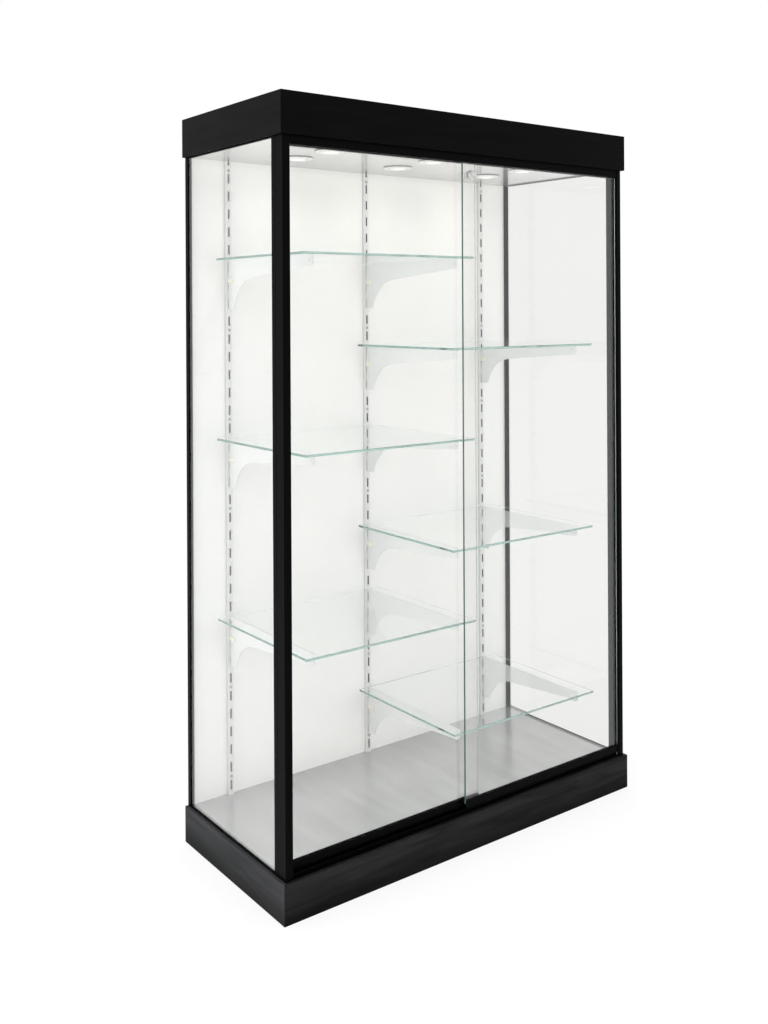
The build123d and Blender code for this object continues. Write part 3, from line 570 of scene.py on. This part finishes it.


# Lamps: spun steel bezels in white enamel with a grey painted shade round the rim, frosted lenses that glow
# most in the middle, and the light that they throw down

lamp = {
    "columns": 3, "rows": 2, "lens": 0.0217, "lensDepth": 0.005, "lensDrop": 0.002, "domeRings": 16,
    "lensBody": "#a0a09e", "lensRoughness": 0.5, "tone": "#fffbf3", "glow": 1.15, "glowFall": 0.50,
    "power": 0.18, "lightGap": 0.004,
    "spill": 0.070, "spillGap": 0.045, "spillDrop": 0.012, "spillWidth": 0.015,
}
bezel = {
    "can": 0.024, "canWall": 0.002, "canHeight": 0.024, "canRound": 0.0015, "flange": 0.043,
    "flangeDepth": 0.004, "rimHeight": 0.0020, "rimRound": 0.0008, "slopeWidth": 0.0030, "slopeRound": 0.0016,
    "grooveEdge": 0.0020, "edgeRound": 0.0005, "grooveFloor": (0.0006, 0.0013), "grooveDepth": 0.0007,
    "floorRound": 0.0003, "lipRound": 0.0004, "paintedRimShadeRadius": 0.0424, "enamel": "#f8f8f7", "gasket": "#8c8c8b",
    "peel": 0.004, "peelDetail": 2.0, "gloss": (0.25, 0.31),
}

lensLow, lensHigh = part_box("lamp_lenses")
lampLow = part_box("lamp_housings")[0].z
lampXs = np.linspace(lensLow.x + lamp["lens"], lensHigh.x - lamp["lens"], lamp["columns"])
lampYs = np.linspace(lensLow.y + lamp["lens"], lensHigh.y - lamp["lens"], lamp["rows"])
lampCentres = [(x, y, lampLow) for x in lampXs for y in lampYs]


def lampRadius(tree, coords):  # distance from the nearest lamp's axis
    place = addNode(tree, "ShaderNodeSeparateXYZ", {}, {"Vector": coords.outputs["Object"]})
    side = columnDistance(tree, place.outputs["X"], float(lampXs[-1]))
    row = addNode(tree, "ShaderNodeMath", {"operation": "ABSOLUTE"}, {0: place.outputs["Y"]})
    depth = addNode(tree, "ShaderNodeMath", {
        "operation": "SUBTRACT", 1: float(lampYs[-1])}, {0: row.outputs[0]})
    flat = addNode(tree, "ShaderNodeCombineXYZ", {}, {"X": side, "Y": depth.outputs[0]})
    radius = addNode(tree, "ShaderNodeVectorMath", {"operation": "LENGTH"}, {0: flat.outputs[0]})
    return radius.outputs["Value"]


# Frosted acrylic, lit from behind: a warm white face, dimmer towards its rim
lensMaterial, tree, shader = newMaterial("frostedLensLit", {
    "Base Color": hexColour(lamp["lensBody"]), "Roughness": lamp["lensRoughness"],
    "Emission Color": hexColour(lamp["tone"])})
coords = addNode(tree, "ShaderNodeTexCoord")
level = addNode(tree, "ShaderNodeMapRange", {
    "From Max": lamp["lens"], "To Min": lamp["glow"], "To Max": lamp["glow"] - lamp["glowFall"],
    "interpolation_type": "SMOOTHSTEP"}, {"Value": lampRadius(tree, coords)})
tree.links.new(level.outputs["Result"], shader.inputs["Emission Strength"])

# Baked enamel: a clean white with a faint orange peel in its gloss, and a grey painted shade round the rim
bezelMaterial, tree, shader = newMaterial("whiteEnamelSteel", {})
coords = addNode(tree, "ShaderNodeTexCoord")
rim = addNode(tree, "ShaderNodeMath", {
    "operation": "GREATER_THAN", 1: bezel["paintedRimShadeRadius"]}, {0: lampRadius(tree, coords)})
colour = addNode(tree, "ShaderNodeMix", {
    "data_type": "RGBA", 6: hexColour(bezel["enamel"]), 7: hexColour(bezel["gasket"])}, {0: rim.outputs[0]})
tree.links.new(colour.outputs[2], shader.inputs["Base Color"])
varyGloss(tree, shader, grainPattern(tree, coords, [bezel["peel"]] * 3, bezel["peelDetail"]), bezel["gloss"])

# The bezel's section runs from the can's top down its outside, round the flange, over the ring groove
# in the flange's face and up the can's inside
can, flange = bezel["can"], bezel["flange"]
canInside = can - bezel["canWall"]
canCeiling = bezel["canHeight"] - bezel["canWall"]
floorInner, floorOuter = bezel["grooveFloor"]
bezelProfile = roundedProfile([
    (0, bezel["canHeight"], 0), (can, bezel["canHeight"], bezel["canRound"]), (can, bezel["flangeDepth"], 0),
    (flange, bezel["flangeDepth"], 0), (flange, bezel["rimHeight"], bezel["rimRound"]),
    (flange - bezel["slopeWidth"], 0, bezel["slopeRound"]),
    (can + bezel["grooveEdge"], 0, bezel["edgeRound"]),
    (can + floorOuter, bezel["grooveDepth"], bezel["floorRound"]),
    (can + floorInner, bezel["grooveDepth"], bezel["floorRound"]), (can, 0, bezel["lipRound"]),
    (canInside, 0, bezel["lipRound"]), (canInside, canCeiling, 0), (0, canCeiling, 0)])
placePiece("lampBezels", [(*turnedSolid(bezelProfile, 2), lampCentres)],
           bezelMaterial, "carcass", "lamp_housings")

# The lens face bulges below the ring: height = - drop times the root of 1 - (radius / lens radius)^4
domeRadius = lamp["lens"] * np.sin(np.linspace(np.pi / 2, 0, lamp["domeRings"]))
domeHeight = -lamp["lensDrop"] * np.sqrt(1 - (domeRadius / lamp["lens"]) ** 4)
lensTop = lamp["lensDepth"] - lamp["lensDrop"]
lensProfile = np.vstack([[(0, lensTop), (lamp["lens"], lensTop)], np.stack([domeRadius, domeHeight], -1)])
placePiece("lampLenses", [(*turnedSolid(lensProfile, 2), lampCentres)],
           lensMaterial, "carcass", "lamp_lenses")

lensWidth = 2 * lamp["lens"]
for x, y, z in lampCentres:
    addSoftLight("downlight", lamp["power"], (lensWidth, lensWidth), (x, y, z - lamp["lightGap"]),
                 (x, y, 0.0), lamp["tone"], "DISK")

# The domed lenses also throw light sideways, which washes the top of the back panel from end to end
washHeight = lampLow - lamp["spillDrop"]
addSoftLight("panelWash", lamp["spill"], (panelHigh.x - panelLow.x, lamp["spillWidth"]),
             (0.0, panelLow.y - lamp["spillGap"], washHeight), (0.0, panelLow.y, washHeight), lamp["tone"])
print("lamps lit")


# Screws: cold-headed pan heads with a pressed cross, at the places of the CAD screws. Each kind is its
# head's radius, its head's height and its shank's radius.

screw = {
    "panel": (0.0040, 0.0022, 0.0020), "bezel": (0.0024, 0.0010, 0.0013), "post": (0.0042, 0.0030, 0.0020),
    "bezelGrip": 0.012, "spotGap": 0.02, "postGap": 0.001, "around": 32, "crown": 0.35, "crownRings": 11,
    "crownReach": 0.98, "sideShare": 0.7, "crossReach": 0.55, "crossHalf": 0.13, "crossDepth": 0.45,
    "crossEdge": 0.06, "crossFrom": 0.3,
}


def screwShape(headRadius, headHeight, shankRadius, shankLength, axis, heading):
    # The head's crown is height times (1 - crown (radius / head radius)^2). The cross sinks it where a point
    # lies within half an arm's width of either arm's middle line and within the arms' reach.
    ringRadius = np.linspace(screw["crownReach"] * headRadius, 0, screw["crownRings"])
    crown = headHeight * (1 - screw["crown"] * (ringRadius / headRadius) ** 2)
    sideHeight = headHeight * (1 - screw["crown"]) * screw["sideShare"]
    stem = [(0, -shankLength), (shankRadius, -shankLength + shankRadius), (shankRadius, 0), (headRadius, 0),
            (headRadius, sideHeight)]
    profile = np.vstack([stem, np.stack([ringRadius, crown], -1)])
    points, quads, fans = turnedSolid(profile, axis, screw["around"])
    side = np.abs(np.delete(points, axis, axis=1)) / headRadius
    arm = np.clip((screw["crossHalf"] - side.min(axis=1)) / screw["crossEdge"], 0, 1)
    reach = np.clip((screw["crossReach"] - side.max(axis=1)) / screw["crossEdge"], 0, 1)
    onCrown = points[:, axis] > headHeight * screw["crossFrom"]
    points[:, axis] -= screw["crossDepth"] * headHeight * arm * reach * onCrown
    points[:, axis] *= heading
    return points, quads, fans


screwPoints = nodePoints("screws")
upper = screwPoints[:, 2] > (cadBox[0][2] + cadBox[1][2]) / 2
outer = np.abs(screwPoints[:, 0]) > standardSpacing + standardHalf
onPanel = ~outer & (screwPoints[:, 1] > lampYs[-1] + flange)
panelSpots = [(x, standardLow.y, z) for x in middles(screwPoints[onPanel, 0], screw["spotGap"])
              for z in middles(screwPoints[onPanel, 2], screw["spotGap"])]
bezelOffset = (flange + can) / 2
bezelSpots = [(x + sign * bezelOffset, y, z) for x, y, z in lampCentres for sign in (-1, 1)]
screwShapes = [
    (*screwShape(*screw["panel"], panelHigh.y - standardLow.y, 1, -1), panelSpots),
    (*screwShape(*screw["bezel"], bezel["flangeDepth"] + screw["bezelGrip"], 2, -1), bezelSpots),
]
postRadius, postHeight, _ = screw["post"]
for chosen, heading in ((outer & ~upper, -1), (outer & upper, 1)):
    group = screwPoints[chosen]
    spots = []
    for x in middles(group[:, 0], screw["postGap"]):
        near = group[np.abs(group[:, 0] - x) < 2 * postRadius]
        seat = near[:, 2].min() + postHeight if heading < 0 else near[:, 2].max() - postHeight
        spots += [(x, y, seat) for y in middles(near[:, 1], screw["spotGap"])]
    length = np.ptp(group[:, 2]) - postHeight
    screwShapes.append((*screwShape(*screw["post"], length, 2, heading), spots))
placePiece("panHeadScrews", screwShapes, finishes["zincScrewSteel"], "carcass", "screws")
print("screws:", sum(len(shape[3]) for shape in screwShapes))


# Push lock: turned brass barrel, chromed, with a shadow ring round the button and rounded rims

lock = {
    "face": 0.012, "faceRound": 0.0010, "sleeve": 0.009, "bore": 0.00705, "boreRound": 0.0003,
    "endRound": 0.0003, "ringInner": 0.0082, "ringOuter": 0.0096, "ringDepth": 0.0010, "ringSlope": 0.0002,
    "ringRound": 0.0002, "ringFloorRound": 0.0001, "around": 96,
    "button": 0.007, "buttonRound": 0.0009, "tailRound": 0.0004,
    "plug": 0.00455, "plugBevel": (0.0005, 0.0003), "bevelRound": 0.0002,
    "markOffset": 0.0029, "markRadius": 0.0013, "oxideAndPaintedShade": "#1d1e20",
    "chrome": ("#eeeeef", "#e2e2e4"), "span": (0.35, 0.7), "wipe": 0.002, "wipeDetail": 3.0,
    "gloss": (0.08, 0.18),
}

housingLow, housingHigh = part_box("lock_housing")
buttonLow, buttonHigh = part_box("lock_plunger")
plugLow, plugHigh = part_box("lock_key_plug")
lockX = (housingLow.x + housingHigh.x) / 2
lockZ = (housingLow.z + housingHigh.z) / 2
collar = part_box("right_door_glass")[0].y - housingLow.y
sleeveEnd = housingHigh.y - housingLow.y

# Dark oxide and painted shade in the ring and in the two key pits above and below the axis
lockMaterial, tree, shader = newMaterial("chromedLockBrass", {"Metallic": 1.0})
coords = addNode(tree, "ShaderNodeTexCoord")
place = addNode(tree, "ShaderNodeVectorMath", {"operation": "SUBTRACT", 1: (lockX, 0.0, lockZ)}, {
    0: coords.outputs["Object"]})
flat = addNode(tree, "ShaderNodeVectorMath", {"operation": "MULTIPLY", 1: (1.0, 0.0, 1.0)}, {
    0: place.outputs[0]})
radius = addNode(tree, "ShaderNodeVectorMath", {"operation": "LENGTH"}, {0: flat.outputs[0]})
ring = addNode(tree, "ShaderNodeMath", {
    "operation": "COMPARE", 1: (lock["ringInner"] + lock["ringOuter"]) / 2,
    2: (lock["ringOuter"] - lock["ringInner"]) / 2}, {0: radius.outputs["Value"]})
folded = addNode(tree, "ShaderNodeVectorMath", {"operation": "ABSOLUTE"}, {0: flat.outputs[0]})
pit = addNode(tree, "ShaderNodeVectorMath", {"operation": "DISTANCE", 1: (0.0, 0.0, lock["markOffset"])}, {
    0: folded.outputs[0]})
marks = addNode(tree, "ShaderNodeMath", {
    "operation": "LESS_THAN", 1: lock["markRadius"]}, {0: pit.outputs["Value"]})
oxideAndPaintedShade = addNode(tree, "ShaderNodeMath", {"operation": "MAXIMUM"}, {0: ring.outputs[0], 1: marks.outputs[0]})
wipes = grainPattern(tree, coords, [lock["wipe"]] * 3, lock["wipeDetail"])
paintTones(tree, shader, wipes, lock["span"], lock["chrome"])
paintOver(tree, shader, oxideAndPaintedShade.outputs[0], lock["oxideAndPaintedShade"])
varyGloss(tree, shader, wipes, lock["gloss"])
dress(lockMaterial, "lock_key_plug")

housingProfile = roundedProfile([
    (lock["bore"], 0, lock["boreRound"]), (lock["ringInner"], 0, lock["ringRound"]),
    (lock["ringInner"] + lock["ringSlope"], lock["ringDepth"], lock["ringFloorRound"]),
    (lock["ringOuter"] - lock["ringSlope"], lock["ringDepth"], lock["ringFloorRound"]),
    (lock["ringOuter"], 0, lock["ringRound"]), (lock["face"], 0, lock["faceRound"]),
    (lock["face"], collar, lock["endRound"]), (lock["sleeve"], collar, 0),
    (lock["sleeve"], sleeveEnd, lock["endRound"]), (lock["bore"], sleeveEnd, 0)])
placePiece("lockBarrel", [(*turnedSolid(housingProfile, 1, lock["around"]), [(lockX, housingLow.y, lockZ)])],
           lockMaterial, "right_door", "lock_housing")

plugDepth = plugHigh.y - plugLow.y
buttonLength = buttonHigh.y - buttonLow.y
bevelWidth, bevelDepth = lock["plugBevel"]
buttonProfile = roundedProfile([
    (lock["plug"], bevelDepth, lock["bevelRound"]), (lock["plug"] + bevelWidth, 0, lock["bevelRound"]),
    (lock["button"], 0, lock["buttonRound"]), (lock["button"], buttonLength, lock["tailRound"]),
    (0, buttonLength, 0), (0, plugDepth, 0), (lock["plug"], plugDepth, 0)])
startAtAxis = np.roll(buttonProfile, -int(np.where(buttonProfile[:, 0] == 0)[0][-1]), axis=0)
placePiece("lockButton", [(*turnedSolid(startAtAxis, 1, lock["around"]), [(lockX, buttonLow.y, lockZ)])],
           lockMaterial, "lock_button", "lock_plunger")


# Grommet: a moulded rubber ring with rounded flanges on both faces of the board

grommet = {"bore": 0.004, "neck": 0.009, "flange": 0.002, "flangeRound": 0.0009, "edgeRound": 0.0002}

grommetLow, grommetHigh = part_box("power_grommet")
flangeRadius = (grommetHigh.x - grommetLow.x) / 2
grommetDepth = grommetHigh.y - grommetLow.y
frontFace, rearFace = grommet["flange"], grommetDepth - grommet["flange"]
grommetProfile = roundedProfile([
    (grommet["bore"], 0, grommet["flangeRound"]), (flangeRadius, 0, grommet["flangeRound"]),
    (flangeRadius, frontFace, grommet["edgeRound"]), (grommet["neck"], frontFace, 0),
    (grommet["neck"], rearFace, 0), (flangeRadius, rearFace, grommet["edgeRound"]),
    (flangeRadius, grommetDepth, grommet["flangeRound"]),
    (grommet["bore"], grommetDepth, grommet["flangeRound"])])
grommetSpot = ((grommetLow.x + grommetHigh.x) / 2, grommetLow.y, (grommetLow.z + grommetHigh.z) / 2)
placePiece("cordGrommet", [(*turnedSolid(grommetProfile, 1), [grommetSpot])],
           finishes["blackGrommetRubber"], "carcass", "power_grommet")
print("lock and grommet turned")


# Studio: white world, white floor that keeps a soft shadow, a wide soft light from the left, a low fill
# in front, and a strip for the light that the deck throws on the foot of the back panel

studio = {
    "ambient": 1.13, "floorSize": 40.0, "floorShadow": 0.2, "floorTone": "#f4f4f4", "floorGlow": 1.02,
    "floorRoughness": 0.9, "washGap": 0.25, "washRise": 0.13, "washAim": 0.02,
}
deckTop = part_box("floor_deck")[1].z
softLights = {
    "softKey": {"power": 55.0, "size": (2.6, 2.6), "place": (-3.6, 0.2, 1.7), "aim": (0.0, 0.0, 1.0)},
    "lowFill": {"power": 33.0, "size": (2.4, 1.4), "place": (0.9, -4.4, 0.8), "aim": (0.0, 0.0, 0.5)},
    "footWash": {"power": 0.26, "size": (1.1, 0.05),
                 "place": (0.0, panelLow.y - studio["washGap"], deckTop + studio["washRise"]),
                 "aim": (0.0, panelLow.y, deckTop + studio["washAim"])},
}


def seenDirectly(tree):  # 1 for camera, mirror and glass rays, 0 for light bounced off matt surfaces
    path = addNode(tree, "ShaderNodeLightPath")
    seen = addNode(tree, "ShaderNodeMath", {"operation": "MAXIMUM"}, {
        0: path.outputs["Is Camera Ray"], 1: path.outputs["Is Glossy Ray"]})
    return addNode(tree, "ShaderNodeMath", {"operation": "MAXIMUM"}, {
        0: seen.outputs[0], 1: path.outputs["Is Transmission Ray"]}).outputs[0]


world = bpy.data.worlds.new("whiteStudio")
scene.world = world
world.use_nodes = True
tree = world.node_tree
strength = addNode(tree, "ShaderNodeMapRange", {"To Min": studio["ambient"], "To Max": 1.0}, {
    "Value": seenDirectly(tree)})
tree.links.new(strength.outputs["Result"], tree.nodes["Background"].inputs["Strength"])
tree.nodes["Background"].inputs["Color"].default_value = (1.0, 1.0, 1.0, 1.0)

for name, soft in softLights.items():
    addSoftLight(name, soft["power"], soft["size"], soft["place"], soft["aim"])

# Matt paint, mostly shown as plain white, with a share left that takes the object's shadow
floorMaterial, tree, shader = newMaterial("whiteFloor", {
    "Base Color": hexColour(studio["floorTone"]), "Roughness": studio["floorRoughness"]})
share = addNode(tree, "ShaderNodeMath", {"operation": "MULTIPLY", 1: 1 - studio["floorShadow"]}, {
    0: seenDirectly(tree)})
white = addNode(tree, "ShaderNodeEmission", {"Strength": studio["floorGlow"]})
mix = addNode(tree, "ShaderNodeMixShader", {}, {
    0: share.outputs[0], 1: shader.outputs["BSDF"], 2: white.outputs["Emission"]})
tree.links.new(mix.outputs["Shader"], tree.nodes["Material Output"].inputs["Surface"])
half = studio["floorSize"] / 2
floorCorners = [(-half, -half, 0), (half, -half, 0), (half, half, 0), (-half, half, 0)]
floorMesh = bpy.data.meshes.new("floor")
floorMesh.from_pydata(floorCorners, [], [(0, 1, 2, 3)])
floorMesh.materials.append(floorMaterial)
floor = bpy.data.objects.new("floor", floorMesh)
scene.collection.objects.link(floor)
print("studio set")


# Camera: level lens with a fallen frame, as the upright lines of the photograph show

camera = {
    "place": (-1.93507, -2.4176, 1.45758), "yaw": 36.99, "roll": -0.28, "focalPixels": 1070.6,
    "horizonRow": 308.84, "frameHeight": 1024, "sensor": 36.0, "bounces": 32,
}

cameraData = bpy.data.cameras.new("camera")
cameraData.sensor_fit = "AUTO"
cameraData.sensor_width = camera["sensor"]
cameraData.lens = camera["focalPixels"] * camera["sensor"] / camera["frameHeight"]
cameraData.shift_y = (camera["horizonRow"] - camera["frameHeight"] / 2) / camera["frameHeight"]
yaw, roll = math.radians(camera["yaw"]), math.radians(camera["roll"])
forward = np.array([math.sin(yaw), math.cos(yaw), 0.0])
right = np.array([math.cos(yaw), -math.sin(yaw), 0.0])
up = np.array([0.0, 0.0, 1.0])
tiltedRight = math.cos(roll) * right + math.sin(roll) * up
tiltedUp = math.cos(roll) * up - math.sin(roll) * right
pose = Matrix.Identity(4)
for row in range(3):
    pose[row] = (tiltedRight[row], tiltedUp[row], -forward[row], camera["place"][row])
cameraObject = bpy.data.objects.new("camera", cameraData)
cameraObject.matrix_world = pose
scene.collection.objects.link(cameraObject)
scene.camera = cameraObject

# Long glass paths need deep bounces, or the shelf edges turn dark
for kind in ("max_bounces", "glossy_bounces", "transmission_bounces", "transparent_max_bounces"):
    setattr(scene.cycles, kind, camera["bounces"])
print("camera placed")
